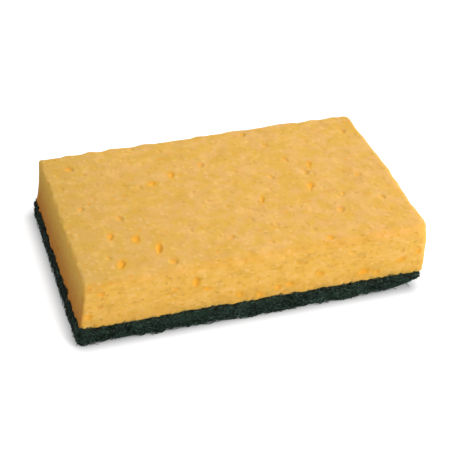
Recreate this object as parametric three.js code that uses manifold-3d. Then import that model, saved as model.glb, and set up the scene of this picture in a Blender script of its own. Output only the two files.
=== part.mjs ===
// Cellulose kitchen sponge with a non-woven scouring pad glued over its underside.
// Millimetres, +Z up. The length runs along X, and the long front side looks to -Y.
// The origin is under the middle of the object, on the plane that the pad rests on.
import * as THREE from "three";
import { mergeVertices } from "three/addons/utils/BufferGeometryUtils.js";
import Module from "manifold-3d";

const wasm = await Module();
wasm.setup();

// The sponge block, sawn from a large cellulose loaf
const SPONGE_LENGTH = 155.6;
const SPONGE_WIDTH = 92.1;
const SPONGE_HEIGHT = 23.8;
const RIGHT_END_EXTRA_HEIGHT = 2.4;
const RIGHT_END_SKEW = 1.8;
const RIGHT_END_SWELL = 0.7;
const LEFT_CORNER_RADIUS = 1.6;
const RIGHT_FRONT_CORNER_RADIUS = 6.8;
const RIGHT_BACK_CORNER_RADIUS = 4.2;
const TOP_EDGE_RADIUS_LEFT = 1.8;
const TOP_EDGE_RADIUS_RIGHT = 3.8;
const LEFT_END_LEAN = 1.9;
const RIGHT_END_LEAN = 0.9;
const SIDE_WAIST = 0.35;

// The scouring pad, a web of curled fibres, glued on a little off the block's register
const PAD_THICKNESS = 7.8;
const PAD_OVERHANG_LEFT = 1.7;
const PAD_OVERHANG_RIGHT = -0.6;
const PAD_OVERHANG_FRONT = 1.5;
const PAD_OVERHANG_BACK = 0.6;
const PAD_CORNER_RADIUS = 2.4;
const PAD_WORN_CORNER_RADIUS = 13;
const PAD_FOOT_INSET = 0.5;
const PAD_RAGGEDNESS = 0.8;
const PAD_TUFT_SPACING = 2.9;

// The pores that the saw opened
const PORE_SMALLEST = 1.5;
const PORE_LARGEST = 4.4;
const PORE_RARITY = 2.6;
const PORE_ROUND_FROM = 2.8;
const PORE_SINK = 0.22;
const PORE_DEPTH_SHARE = 0.85;
const PORE_FLATTENING = 0.62;
const WALL_PORE_TURN = 25;

// The hollows between the fibres of the pad's underside
const HOLLOW_SMALLEST = 3.2;
const HOLLOW_LARGEST = 7.5;
const HOLLOW_DEPTH = 1.1;
const HOLLOW_EDGE_MARGIN = 5.5;
const HOLLOW_COUNT = 40;

const spongeMaterial = new THREE.MeshStandardMaterial({
  name: "cellulose",
  color: 0xeab761,
  roughness: 0.95,
  metalness: 0,
});
const padMaterial = new THREE.MeshStandardMaterial({
  name: "scouring_fibre",
  color: 0x24382e,
  roughness: 0.8,
  metalness: 0,
});

// A repeatable share from 0 to 1, always the same for the same item and use.
function chance(item, use) {
  const wave = Math.sin(item * 127.1 + use * 311.7) * 43758.5453;
  return wave - Math.floor(wave);
}

function mix(from, to, share) {
  return from + (to - from) * share;
}

// Two shares from 0 to 1 that fill a face evenly as the items go on, each moved a little by
// chance. The steps are powers of the plastic number, which leave no rows and no gaps.
const PLASTIC_NUMBER = 1.3247179572;
const PLACE_JITTER = 0.09;

function spread(item) {
  const shares = [1 / PLASTIC_NUMBER, 1 / PLASTIC_NUMBER ** 2].map(
    (step, use) => item * step + PLACE_JITTER * chance(item, use + 1),
  );
  return shares.map((share) => share - Math.floor(share));
}

function solidOf(geometry) {
  geometry.deleteAttribute("normal");
  geometry.deleteAttribute("uv");
  const merged = mergeVertices(geometry);
  return new wasm.Manifold(
    new wasm.Mesh({
      numProp: 3,
      vertProperties: merged.attributes.position.array,
      triVerts: new Uint32Array(merged.index.array),
    }),
  );
}

function geometryOf(solid) {
  const mesh = solid.getMesh();
  const geometry = new THREE.BufferGeometry();
  geometry.setAttribute("position", new THREE.BufferAttribute(mesh.vertProperties, 3));
  geometry.setIndex(new THREE.BufferAttribute(mesh.triVerts, 1));
  geometry.computeVertexNormals();
  return geometry;
}

// A closed rectangle with rounded corners, anticlockwise from above, as Vector2 points.
// The straight stretches between the corner arcs are cut into pieces.along or pieces.across.
function roundedOutline({ left, right, front, back, radii, arcSteps, pieces }) {
  const corners = [
    { x: right, y: front, turn: -90, radius: radii.rightFront },
    { x: right, y: back, turn: 0, radius: radii.rightBack },
    { x: left, y: back, turn: 90, radius: radii.leftBack },
    { x: left, y: front, turn: 180, radius: radii.leftFront },
  ];
  const arcs = corners.map(({ x, y, turn, radius }) => {
    const centreX = x - Math.sign(x) * radius;
    const centreY = y - Math.sign(y) * radius;
    return Array.from({ length: arcSteps + 1 }, (_, step) => {
      const angle = THREE.MathUtils.degToRad(turn + (90 * step) / arcSteps);
      return new THREE.Vector2(
        centreX + radius * Math.cos(angle),
        centreY + radius * Math.sin(angle),
      );
    });
  });
  return arcs.flatMap((arc, side) => {
    const end = arcs[(side + 1) % arcs.length][0];
    const count = side % 2 === 0 ? pieces.across : pieces.along;
    const between = Array.from({ length: count - 1 }, (_, step) =>
      arc[arcSteps].clone().lerp(end, (step + 1) / count),
    );
    return [...arc, ...between];
  });
}

// A solid through a stack of rings with the same number of points, closed by flat caps.
function loft(rings) {
  const count = rings[0].length;
  const positions = rings.flat().flatMap((point) => point.toArray());
  const index = [];
  for (let level = 0; level < rings.length - 1; level++) {
    for (let i = 0; i < count; i++) {
      const a = level * count + i;
      const b = level * count + ((i + 1) % count);
      index.push(a, b, b + count, a, b + count, a + count);
    }
  }
  const lastRing = (rings.length - 1) * count;
  for (const [a, b, c] of THREE.ShapeUtils.triangulateShape(rings[0], [])) {
    index.push(c, b, a);
  }
  for (const [a, b, c] of THREE.ShapeUtils.triangulateShape(rings.at(-1), [])) {
    index.push(lastRing + a, lastRing + b, lastRing + c);
  }
  const geometry = new THREE.BufferGeometry();
  geometry.setAttribute("position", new THREE.Float32BufferAttribute(positions, 3));
  geometry.setIndex(index);
  return geometry;
}

// Where the block's four walls stand at a share of its height: the ends lean in towards the
// top. At mid height the right end swells a little, and the other sides are drawn in.
function spongeWalls(heightShare) {
  const midHeight = Math.sin(Math.PI * heightShare);
  const waist = SIDE_WAIST * midHeight;
  return {
    left: -SPONGE_LENGTH / 2 + waist + LEFT_END_LEAN * heightShare,
    right: SPONGE_LENGTH / 2 + RIGHT_END_SWELL * midHeight - RIGHT_END_LEAN * heightShare,
    front: -SPONGE_WIDTH / 2 + waist,
    back: SPONGE_WIDTH / 2 - waist,
  };
}

// A point of the straight block, moved as the saw left it: the loaf was sawn slightly askew,
// so the block is thicker at its right end, which reaches farther out at the front corner.
function sawnAskew(x, y, height) {
  const thicker = RIGHT_END_EXTRA_HEIGHT / SPONGE_HEIGHT / SPONGE_LENGTH;
  const toRight = 0.5 + x / SPONGE_LENGTH;
  const toFront = 0.5 - y / SPONGE_WIDTH;
  return new THREE.Vector3(
    x + RIGHT_END_SKEW * toRight * toFront,
    y,
    PAD_THICKNESS + height * (1 + thicker * x),
  );
}

// One level of the block: at a share of the wall's height below the rounded top edge, rolled
// over that edge by degrees. The edge grows rounder towards the right end.
function spongeRing(wallShare, degrees) {
  const roll = THREE.MathUtils.degToRad(degrees);
  const edgeRadius = (toRight) => mix(TOP_EDGE_RADIUS_LEFT, TOP_EDGE_RADIUS_RIGHT, toRight);
  const inset = (toRight) => edgeRadius(toRight) * (1 - Math.cos(roll));
  const heightOver = (toRight) =>
    wallShare * (SPONGE_HEIGHT - edgeRadius(toRight)) + edgeRadius(toRight) * Math.sin(roll);
  const walls = spongeWalls(heightOver(0.5) / SPONGE_HEIGHT);
  const radius = (full, drawnIn) => Math.max(full - drawnIn, full / 2);
  const points = roundedOutline({
    left: walls.left + inset(0),
    right: walls.right - inset(1),
    front: walls.front + inset(0),
    back: walls.back - inset(0),
    radii: {
      leftFront: radius(LEFT_CORNER_RADIUS, inset(0)),
      leftBack: radius(LEFT_CORNER_RADIUS, inset(0)),
      rightFront: radius(RIGHT_FRONT_CORNER_RADIUS, inset(1)),
      rightBack: radius(RIGHT_BACK_CORNER_RADIUS, inset(1)),
    },
    arcSteps: 5,
    pieces: { along: 1, across: 1 },
  });
  return points.map(({ x, y }) => {
    const toRight = 0.5 + x / SPONGE_LENGTH;
    const farther = inset(toRight) - inset(0);
    return sawnAskew(x, y - Math.sign(y) * farther, heightOver(toRight));
  });
}

// One opened pore: an ellipsoid sunk a little below the face that it opens in, rounder on a
// long pore and angular, like the salt crystal that left it, on a small one.
// The mouth's long axis is turned from the face's own along direction by turn degrees.
function pore({ at, along, outward, long, short, turn }) {
  const across = new THREE.Vector3().crossVectors(outward, along);
  const basis = new THREE.Matrix4().makeBasis(along, across, outward);
  const spin = new THREE.Matrix4().makeRotationZ(THREE.MathUtils.degToRad(turn));
  const depth = (PORE_DEPTH_SHARE * (long + short)) / 4;
  const size = new THREE.Matrix4().makeScale(long / 2, short / 2, depth);
  const centre = at.clone().addScaledVector(outward, -PORE_SINK * depth);
  const placed = new THREE.Matrix4()
    .setPosition(centre)
    .multiply(basis)
    .multiply(spin)
    .multiply(size);
  const roundness = long < PORE_ROUND_FROM ? 0 : 1;
  return solidOf(new THREE.IcosahedronGeometry(1, roundness).applyMatrix4(placed));
}

const UP = new THREE.Vector3(0, 0, 1);
const ALONG_X = new THREE.Vector3(1, 0, 0);
const ALONG_Y = new THREE.Vector3(0, 1, 0);

// The five sawn faces. A place on a face is given by two shares from -1 to 1: along it, and
// up it or across it. Pores in the walls are flattened, because the loaf settles as it sets.
const FACES = {
  top: {
    outward: UP,
    along: ALONG_X,
    flattening: 1,
    place(u, v) {
      const walls = spongeWalls(1);
      const x = mix(walls.left, walls.right, (1 + u) / 2);
      const y = mix(walls.front, walls.back, (1 + v) / 2);
      return sawnAskew(x, y, SPONGE_HEIGHT);
    },
  },
  front: sideFace("front", -1),
  back: sideFace("back", 1),
  left: endFace("left", -1),
  right: endFace("right", 1),
};

function sideFace(wall, sign) {
  return {
    outward: ALONG_Y.clone().multiplyScalar(sign),
    along: ALONG_X,
    flattening: PORE_FLATTENING,
    place(u, v) {
      const share = (1 + v) / 2;
      const walls = spongeWalls(share);
      const x = mix(walls.left, walls.right, (1 + u) / 2);
      return sawnAskew(x, walls[wall], SPONGE_HEIGHT * share);
    },
  };
}

function endFace(wall, sign) {
  return {
    outward: ALONG_X.clone().multiplyScalar(sign),
    along: ALONG_Y,
    flattening: PORE_FLATTENING,
    place(u, v) {
      const share = (1 + v) / 2;
      const walls = spongeWalls(share);
      const y = mix(walls.front, walls.back, (1 + u) / 2);
      return sawnAskew(walls[wall], y, SPONGE_HEIGHT * share);
    },
  };
}

// The pores that stand out: place on the face in shares, then the mouth's length and width
// in millimetres, and its turn in degrees.
const STANDING_OUT = {
  top: [
    [-0.53, -0.64, 6.6, 2.4, 74],
    [-0.76, -0.77, 4.8, 3.0, 70],
    [-0.63, -0.45, 4.2, 2.6, 76],
    [-0.76, -0.36, 3.8, 2.4, 66],
    [-0.28, 0.41, 3.8, 2.4, 70],
    [-0.41, 0.32, 3.6, 2.4, 10],
    [0.48, -0.1, 4.0, 2.8, 60],
    [0.41, -0.9, 3.4, 2.4, 0],
    [0.16, -0.19, 4.4, 1.6, 70],
    [0.55, 0.24, 3.8, 2.0, 70],
  ],
  front: [
    [-0.38, 0.33, 4.4, 2.9, 90],
    [-0.96, -0.45, 3.2, 2.2, 10],
    [-0.9, 0.53, 2.4, 2.2, 0],
    [-0.31, -0.09, 3.2, 1.7, -15],
    [-0.12, -0.61, 2.6, 2.4, 80],
    [0, -0.78, 2.8, 2.3, 0],
    [0.1, -0.6, 2.8, 2.2, 15],
    [0.17, -0.56, 3.4, 2.3, 0],
    [0.34, -0.31, 3.2, 2.0, -10],
    [0.61, -0.58, 4.8, 2.8, 10],
    [0.69, -0.7, 2.4, 2.0, 0],
    [0.83, -0.31, 3.6, 2.1, 5],
    [0.93, -0.05, 2.8, 2.4, 60],
  ],
};

// How many chance pores each face has beside those.
const CHANCE_PORES = { top: 64, front: 13, back: 24, left: 12, right: 12 };

function facePores(name, firstItem) {
  const face = FACES[name];
  const standing = (STANDING_OUT[name] ?? []).map(([u, v, long, short, turn]) =>
    pore({ ...face, at: face.place(u, v), long, short, turn }),
  );
  const byChance = Array.from({ length: CHANCE_PORES[name] }, (_, i) => {
    const item = firstItem + i;
    const [u, v] = spread(item).map((share) => mix(-1, 1, share));
    const long = mix(PORE_SMALLEST, PORE_LARGEST, chance(item, 3) ** PORE_RARITY);
    const short = long * face.flattening * mix(0.6, 1, chance(item, 4));
    const anyTurn = face.flattening < 1 ? WALL_PORE_TURN : 90;
    const turn = mix(-anyTurn, anyTurn, chance(item, 5));
    return pore({ ...face, at: face.place(u, v), long, short, turn });
  });
  return [...standing, ...byChance];
}

function makeSpongeBlock() {
  const wallRings = [0, 0.25, 0.5, 0.75].map((share) => spongeRing(share, 0));
  const edgeRings = [0, 30, 60, 90].map((degrees) => spongeRing(1, degrees));
  const block = solidOf(loft([...wallRings, ...edgeRings]));
  const pores = Object.keys(FACES).flatMap((name, face) => facePores(name, 100 * face));
  const opened = block.subtract(wasm.Manifold.union(pores));
  const mesh = new THREE.Mesh(geometryOf(opened), spongeMaterial);
  mesh.name = "sponge_block";
  return mesh;
}

// One level of the pad's felted edge, with a point for each tuft.
function padRing(heightShare, inset, wornRadius) {
  const points = roundedOutline({
    left: -SPONGE_LENGTH / 2 - PAD_OVERHANG_LEFT + inset,
    right: SPONGE_LENGTH / 2 + PAD_OVERHANG_RIGHT - inset,
    front: -SPONGE_WIDTH / 2 - PAD_OVERHANG_FRONT + inset,
    back: SPONGE_WIDTH / 2 + PAD_OVERHANG_BACK - inset,
    radii: {
      leftFront: PAD_CORNER_RADIUS,
      leftBack: PAD_CORNER_RADIUS,
      rightFront: wornRadius,
      rightBack: PAD_CORNER_RADIUS,
    },
    arcSteps: 6,
    pieces: {
      along: Math.round(SPONGE_LENGTH / PAD_TUFT_SPACING),
      across: Math.round(SPONGE_WIDTH / PAD_TUFT_SPACING),
    },
  });
  return points.map(({ x, y }) => new THREE.Vector3(x, y, PAD_THICKNESS * heightShare));
}

// Moves each point of a ring straight in or out: single tufts by chance, clumps in slow waves.
function ruffle(ring, level) {
  return ring.map((point, i) => {
    const before = ring.at(i - 1);
    const after = ring[(i + 1) % ring.length];
    const outward = new THREE.Vector3(after.y - before.y, before.x - after.x, 0).normalize();
    const tuft = 2 * chance(i, 20 + level) - 1;
    const clump = Math.sin(i * 0.61 + level * 0.4) * Math.sin(i * 0.23 + 1.7);
    return point.clone().addScaledVector(outward, PAD_RAGGEDNESS * (0.6 * tuft + 0.4 * clump));
  });
}

// A shallow hollow in the underside, an ellipsoid with its middle on the rest plane.
function hollow(item) {
  const reachX = SPONGE_LENGTH / 2 - HOLLOW_EDGE_MARGIN;
  const reachY = SPONGE_WIDTH / 2 - HOLLOW_EDGE_MARGIN;
  const [u, v] = spread(item);
  const x = mix(-reachX, reachX, u);
  const y = mix(-reachY, reachY, v);
  const long = mix(HOLLOW_SMALLEST, HOLLOW_LARGEST, chance(item, 13));
  const short = long * mix(0.5, 0.9, chance(item, 14));
  const placed = new THREE.Matrix4()
    .makeTranslation(x, y, 0)
    .multiply(new THREE.Matrix4().makeRotationZ(Math.PI * chance(item, 15)))
    .multiply(new THREE.Matrix4().makeScale(long / 2, short / 2, HOLLOW_DEPTH));
  return solidOf(new THREE.IcosahedronGeometry(1, 0).applyMatrix4(placed));
}

function makeScouringPad() {
  const levels = [
    { heightShare: 0, inset: PAD_FOOT_INSET, wornRadius: PAD_WORN_CORNER_RADIUS },
    { heightShare: 0.16, inset: 0.2, wornRadius: PAD_WORN_CORNER_RADIUS / 2 },
    { heightShare: 0.38, inset: 0, wornRadius: PAD_CORNER_RADIUS },
    { heightShare: 0.6, inset: 0.15, wornRadius: PAD_CORNER_RADIUS },
    { heightShare: 0.82, inset: 0.1, wornRadius: PAD_CORNER_RADIUS },
    { heightShare: 1, inset: 0.5, wornRadius: PAD_CORNER_RADIUS },
  ];
  const rings = levels.map(({ heightShare, inset, wornRadius }, level) =>
    ruffle(padRing(heightShare, inset, wornRadius), level),
  );
  const hollows = Array.from({ length: HOLLOW_COUNT }, (_, i) => hollow(500 + i));
  const slab = solidOf(loft(rings)).subtract(wasm.Manifold.union(hollows));
  const mesh = new THREE.Mesh(geometryOf(slab), padMaterial);
  mesh.name = "scouring_pad";
  return mesh;
}

const sponge = new THREE.Group();
sponge.add(makeSpongeBlock(), makeScouringPad());

// The pad overhangs the block unevenly, so the whole is moved to stand over the origin.
const middle = new THREE.Box3().setFromObject(sponge).getCenter(new THREE.Vector3());
sponge.position.set(-middle.x, -middle.y, 0);

export default sponge;
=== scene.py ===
import math

import bpy
import numpy as np
from mathutils import Matrix, Vector


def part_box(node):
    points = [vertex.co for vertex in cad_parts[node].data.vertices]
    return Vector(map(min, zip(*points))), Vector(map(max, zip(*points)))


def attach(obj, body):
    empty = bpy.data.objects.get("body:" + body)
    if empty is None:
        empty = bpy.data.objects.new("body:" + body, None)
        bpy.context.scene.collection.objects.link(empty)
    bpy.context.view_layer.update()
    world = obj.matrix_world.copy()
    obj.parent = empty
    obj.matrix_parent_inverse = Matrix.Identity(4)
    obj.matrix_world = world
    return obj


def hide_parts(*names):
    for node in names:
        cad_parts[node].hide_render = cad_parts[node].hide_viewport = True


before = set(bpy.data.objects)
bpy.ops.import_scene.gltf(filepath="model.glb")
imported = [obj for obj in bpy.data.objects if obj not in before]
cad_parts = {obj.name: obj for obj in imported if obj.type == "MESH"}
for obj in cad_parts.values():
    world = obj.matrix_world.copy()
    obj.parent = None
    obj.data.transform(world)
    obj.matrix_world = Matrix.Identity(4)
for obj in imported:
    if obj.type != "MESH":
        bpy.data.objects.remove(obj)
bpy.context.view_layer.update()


# The sponge block: regenerated cellulose foam, cast as a loaf round crystals of salt that are
# washed out again, then sawn on all sides. The saw opens the pores that the crystals left.
# It lies glued down by its whole underside.
BLOCK_LOW, BLOCK_HIGH = (np.array(corner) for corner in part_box("sponge_block"))
BLOCK_LENGTH, BLOCK_WIDTH, BLOCK_HEIGHT = 0.1556, 0.0921, 0.0242
BLOCK_X = BLOCK_LOW[0] + BLOCK_LENGTH / 2
BLOCK_Y = (BLOCK_LOW[1] + BLOCK_HIGH[1]) / 2
RIGHT_END_EXTRA, RIGHT_END_SKEW, RIGHT_END_SWELL = 0.0030, 0.0018, 0.0008
# Each upright corner's radius in plan, at the foot and on top.
BLOCK_CORNERS = {
    "left_front": (0.0016, 0.0016),
    "left_back": (0.0016, 0.0016),
    "right_front": (0.0040, 0.0078),
    "right_back": (0.0042, 0.0042),
}
TOP_EDGE_LEFT, TOP_EDGE_RIGHT, BACK_EDGE_SHARE = 0.0025, 0.0040, 0.5
TOP_EDGE_ANGLES = np.radians([15, 30, 45, 60, 75, 90])
LEFT_END_LEAN, RIGHT_END_LEAN = 0.0019, 0.0009
SIDE_WAIST = 0.00035
BLOCK_STEP = 0.00054
GLUED_BAND = 0.004
TOUCHING, FACING_DOWN, MILLIMETRE = 1e-6, -0.9, 0.001

PORE_SMALLEST, PORE_LARGEST, PORE_RARITY = 0.0015, 0.0044, 2.6
PORE_SINK, PORE_DEPTH_SHARE, PORE_FLATTENING = 0.22, 0.85, 0.62
PORE_NARROWEST, WALL_PORE_TURN, TOP_PORE_TURN = 0.6, 25, 90
PLASTIC_NUMBER, PLACE_JITTER = 1.3247179572, 0.09

# Pores that stand out: place on the face in shares, mouth in millimetres, turn in degrees.
STANDING_OUT = {
    "top": [
        (-0.53, -0.64, 6.6, 2.4, 74),
        (-0.76, -0.77, 4.8, 3.0, 70),
        (-0.63, -0.45, 4.2, 2.6, 76),
        (-0.76, -0.36, 3.8, 2.4, 66),
        (-0.28, 0.41, 3.8, 2.4, 70),
        (-0.41, 0.32, 3.6, 2.4, 10),
        (0.48, -0.1, 4.0, 2.8, 60),
        (0.41, -0.9, 3.4, 2.4, 0),
        (0.16, -0.19, 4.4, 1.6, 70),
        (0.55, 0.24, 3.8, 2.0, 70),
    ],
    "front": [
        (-0.38, 0.33, 4.4, 2.9, 90),
        (-0.96, -0.45, 3.2, 2.2, 10),
        (-0.9, 0.53, 2.4, 2.2, 0),
        (-0.31, -0.09, 3.2, 1.7, -15),
        (-0.12, -0.61, 2.6, 2.4, 80),
        (0.0, -0.78, 2.8, 2.3, 0),
        (0.1, -0.6, 2.8, 2.2, 15),
        (0.17, -0.56, 3.4, 2.3, 0),
        (0.34, -0.31, 3.2, 2.0, -10),
        (0.61, -0.58, 4.8, 2.8, 10),
        (0.69, -0.7, 2.4, 2.0, 0),
        (0.83, -0.31, 3.6, 2.1, 5),
        (0.93, -0.05, 2.8, 2.4, 60),
    ],
}
CHANCE_PORES = {"top": 64, "front": 13, "back": 24, "left": 12, "right": 12}

# Smaller pores fill the whole foam: spacing, widest radius and share of the places filled.
FOAM_PORES = [
    {"spacing": 0.0052, "radius": 0.00125, "filled": 0.34, "seed": 3},
    {"spacing": 0.0030, "radius": 0.00085, "filled": 0.45, "seed": 17},
    {"spacing": 0.0019, "radius": 0.00058, "filled": 0.5, "seed": 29},
]
FOAM_FLATTENING, FOAM_SMALLEST, FOAM_RARITY = 0.66, 0.45, 1.6
FOAM_PLACES, FOAM_LONG, FOAM_SHORT = (0.1, 0.9), (1.0, 1.4), (0.6, 1.0)

# How much of its depth an opened pore shows: the mouths are soft and half closed by films.
SMALL_PORE_DEPTH, LARGE_PORE_DEPTH, FINE_PORE_DEEPEST = 0.42, 0.42, 0.00028
HALO_REACH, PORE_SEARCH = 2.3, 1.5

# Noise on the surface: the size of its waves, their height and the seed.
SAW_WAVES = [(0.030, 0.00030, 41), (0.011, 0.00022, 43), (0.0036, 0.00013, 47)]
EDGE_NIBBLES = [(0.0052, 0.0006, 53)]
FOOT_CRUMBS, FOOT_CRUMB_REACH = [(0.0022, 0.0008, 57), (0.0013, 0.0008, 58)], 0.0016
LEFT_PART_REACH, LEFT_END_TURN = 0.035, (0.4, 0.9)


def chance(item, use):
    """A repeatable share: the fraction of 43758.5453 sin(127.1 item + 311.7 use)."""
    wave = np.sin(item * 127.1 + use * 311.7) * 43758.5453
    return wave - np.floor(wave)


def cell_chance(cells, use):
    """A repeatable share for each cell of a lattice, from its three whole numbers."""
    item = cells[..., 0] * 12.9898 + cells[..., 1] * 78.233 + cells[..., 2] * 37.719
    wave = np.sin(item + use * 4.581) * 43758.5453
    return wave - np.floor(wave)


def mix(start, end, share):
    """The value at a share of the way: start + (end - start) share."""
    return start + (end - start) * share


def cloud(points, size, seed):
    """Smooth noise from -1 to 1: a chance value at each corner of a lattice of cubes of this
    size, blended between the eight corners round a point by 3t^2 - 2t^3 in each axis."""
    place = points / size
    corner = np.floor(place)
    share = place - corner
    share = share * share * (3 - 2 * share)
    total = np.zeros(len(points))
    for dx in (0, 1):
        for dy in (0, 1):
            for dz in (0, 1):
                offset = np.array([dx, dy, dz])
                weight = np.prod(np.where(offset, share, 1 - share), axis=1)
                total += weight * cell_chance(corner + offset, seed)
    return 2 * total - 1


def waves(points, layers):
    """Smooth noise in several layers, added up: height times cloud(points, size, seed)."""
    return sum(height * cloud(points, size, seed) for size, height, seed in layers)


def rounded_plan(u, v, walls, radii):
    """A point of the square, u and v from -1 to 1, put on a rectangle with rounded corners.
    Where it is nearer to both sides than the corner's radius, the small square there is
    pushed onto a quarter disc: the offsets (a, b) shrink by max(a, b) / hypot(a, b)."""
    left, right, front, back = walls
    x = mix(left, right, (1 + u) / 2)
    y = mix(front, back, (1 + v) / 2)
    radius = np.where(
        u < 0,
        np.where(v < 0, radii["left_front"], radii["left_back"]),
        np.where(v < 0, radii["right_front"], radii["right_back"]),
    )
    a = np.clip(1 - np.minimum(x - left, right - x) / radius, 0, 1)
    b = np.clip(1 - np.minimum(y - front, back - y) / radius, 0, 1)
    both = (a > 0) & (b > 0)
    push = np.where(both, np.maximum(a, b) / np.maximum(np.hypot(a, b), 1e-9), 1)
    return x - np.sign(u) * radius * a * (1 - push), y - np.sign(v) * radius * b * (1 - push)


def slab_skin(name, columns, rows, ring_at, cap_at, upwards):
    """A closed skin: rings carried up or down a profile, with a fan inside the first ring and
    a lattice of columns by rows inside the last. ring_at(u, v) gives an array of rings for
    the lattice's rim, and cap_at(u, v) gives the points inside the last ring."""
    i, j = np.meshgrid(np.arange(columns + 1), np.arange(rows + 1), indexing="ij")
    rim_i = np.concatenate(
        [
            np.full(rows, columns),
            np.arange(columns, 0, -1),
            np.full(rows, 0),
            np.arange(0, columns),
        ]
    )
    rim_j = np.concatenate(
        [np.arange(0, rows), np.full(columns, rows), np.arange(rows, 0, -1), np.full(columns, 0)]
    )
    rings = ring_at(2 * rim_i / columns - 1, 2 * rim_j / rows - 1)
    levels, around = rings.shape[:2]
    inside = (i > 0) & (i < columns) & (j > 0) & (j < rows)
    cap = cap_at(2 * i[inside] / columns - 1, 2 * j[inside] / rows - 1)
    middle = rings[0].mean(axis=0)
    points = np.concatenate([rings.reshape(-1, 3), cap, middle[None]])

    number = np.zeros(i.shape, dtype=int)
    number[rim_i, rim_j] = (levels - 1) * around + np.arange(around)
    number[inside] = levels * around + np.arange(len(cap))
    cap_quads = np.stack(
        [number[:-1, :-1], number[1:, :-1], number[1:, 1:], number[:-1, 1:]], axis=-1
    ).reshape(-1, 4)
    here = np.arange(around)
    after = (here + 1) % around
    base = np.arange(levels - 1)[:, None] * around
    wall_quads = np.stack(
        [base + here, base + after, base + around + after, base + around + here], axis=-1
    ).reshape(-1, 4)
    quads = np.concatenate([wall_quads, cap_quads])
    fan = np.stack([after, here, np.full(around, len(points) - 1)], axis=-1)
    if not upwards:
        quads, fan = quads[:, ::-1], fan[:, ::-1]

    mesh = bpy.data.meshes.new(name)
    mesh.from_pydata(points.tolist(), [], quads.tolist() + fan.tolist())
    mesh.update()
    piece = bpy.data.objects.new(name, mesh)
    bpy.context.scene.collection.objects.link(piece)
    mesh.shade_smooth()
    return piece


def points_and_normals(mesh):
    """The mesh's points and its outward directions, as two arrays."""
    points = np.empty(len(mesh.vertices) * 3)
    normals = np.empty(len(mesh.vertices) * 3)
    mesh.vertices.foreach_get("co", points)
    mesh.vertices.foreach_get("normal", normals)
    return points.reshape(-1, 3), normals.reshape(-1, 3)


def move_points(mesh, points):
    """Puts every point of the mesh at its new place."""
    mesh.vertices.foreach_set("co", points.ravel())
    mesh.update()


def store(mesh, name, values):
    """Keeps one number a point on the mesh, for its material."""
    layer = mesh.attributes.new(name, "FLOAT", "POINT")
    layer.data.foreach_set("value", values.astype(np.float32))


def block_walls(share):
    """Where the four walls stand at a share of the height: the ends lean in with the share.
    By sin(pi share), the right end swells and the other three sides are drawn in."""
    mid_height = np.sin(np.pi * share)
    waist = SIDE_WAIST * mid_height
    return (
        BLOCK_X - BLOCK_LENGTH / 2 + waist + LEFT_END_LEAN * share,
        BLOCK_X + BLOCK_LENGTH / 2 + RIGHT_END_SWELL * mid_height - RIGHT_END_LEAN * share,
        BLOCK_Y - BLOCK_WIDTH / 2 + waist,
        BLOCK_Y + BLOCK_WIDTH / 2 - waist,
    )


def sawn_askew(x, y, height):
    """A point of the straight block, moved as the saw left it: the block grows evenly thicker
    towards its right end, and its right end reaches farther out at the front corner."""
    thicker = RIGHT_END_EXTRA / BLOCK_HEIGHT / BLOCK_LENGTH
    to_right = 0.5 + (x - BLOCK_X) / BLOCK_LENGTH
    to_front = 0.5 - (y - BLOCK_Y) / BLOCK_WIDTH
    return (
        x + RIGHT_END_SKEW * to_right * to_front,
        y,
        BLOCK_LOW[2] + height * (1 + thicker * (x - BLOCK_X)),
    )


def block_level(u, v, wall_share, roll, inset=0.0):
    """The plan of the block at a share of the wall's height below the rounded top edge, or
    rolled over that edge by an angle. The edge's radius grows towards the right end, and
    is smaller along the back. Each upright corner has one radius at the foot and one on top."""
    edge = mix(TOP_EDGE_LEFT, TOP_EDGE_RIGHT, (1 + u) / 2) * mix(1, BACK_EDGE_SHARE, (1 + v) / 2)
    drawn_in = edge * (1 - np.cos(roll)) + inset
    height = wall_share * (BLOCK_HEIGHT - edge) + edge * np.sin(roll)
    walls = block_walls(height / BLOCK_HEIGHT)
    walls = [wall + drawn_in * side for wall, side in zip(walls, (1, -1, 1, -1))]
    radii = {name: mix(*ends, height / BLOCK_HEIGHT) for name, ends in BLOCK_CORNERS.items()}
    radii = {name: np.maximum(radius - drawn_in, radius / 2) for name, radius in radii.items()}
    x, y = rounded_plan(u, v, walls, radii)
    return np.stack(sawn_askew(x, y, height), axis=-1)


block_profile = [(0.0, 0.0, GLUED_BAND)]
block_profile += [(share, 0.0) for share in np.linspace(0, 1, round(BLOCK_HEIGHT / BLOCK_STEP))]
block_profile += [(1.0, angle) for angle in TOP_EDGE_ANGLES]


def block_rings(u, v):
    """The block's outline at each level of the profile, from the foot over the top edge."""
    return np.stack([block_level(u, v, *level) for level in block_profile])


def block_top(u, v):
    """The sawn top: the last level of the profile, filled in."""
    return block_level(u, v, *block_profile[-1])


block_size = BLOCK_HIGH - BLOCK_LOW
sponge = slab_skin(
    "open_pore_block",
    round(block_size[0] / BLOCK_STEP),
    round(block_size[1] / BLOCK_STEP),
    block_rings,
    block_top,
    upwards=True,
)


def exit_depth(start, heading, centre, into_ball):
    """How far a line from start runs on inside an ellipsoid, or 0 if start is outside it.
    into_ball takes the ellipsoid to the unit ball, where |p + t d| = 1 is solved for t."""
    p = np.einsum("...ij,...j->...i", into_ball, start - centre)
    d = np.einsum("...ij,...j->...i", into_ball, heading)
    pp, pd, dd = (np.einsum("...i,...i->...", *pair) for pair in ((p, p), (p, d), (d, d)))
    reach = np.sqrt(np.maximum(pd * pd - dd * (pp - 1), 0))
    return np.where(pp < 1, (reach - pd) / dd, 0)


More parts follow.
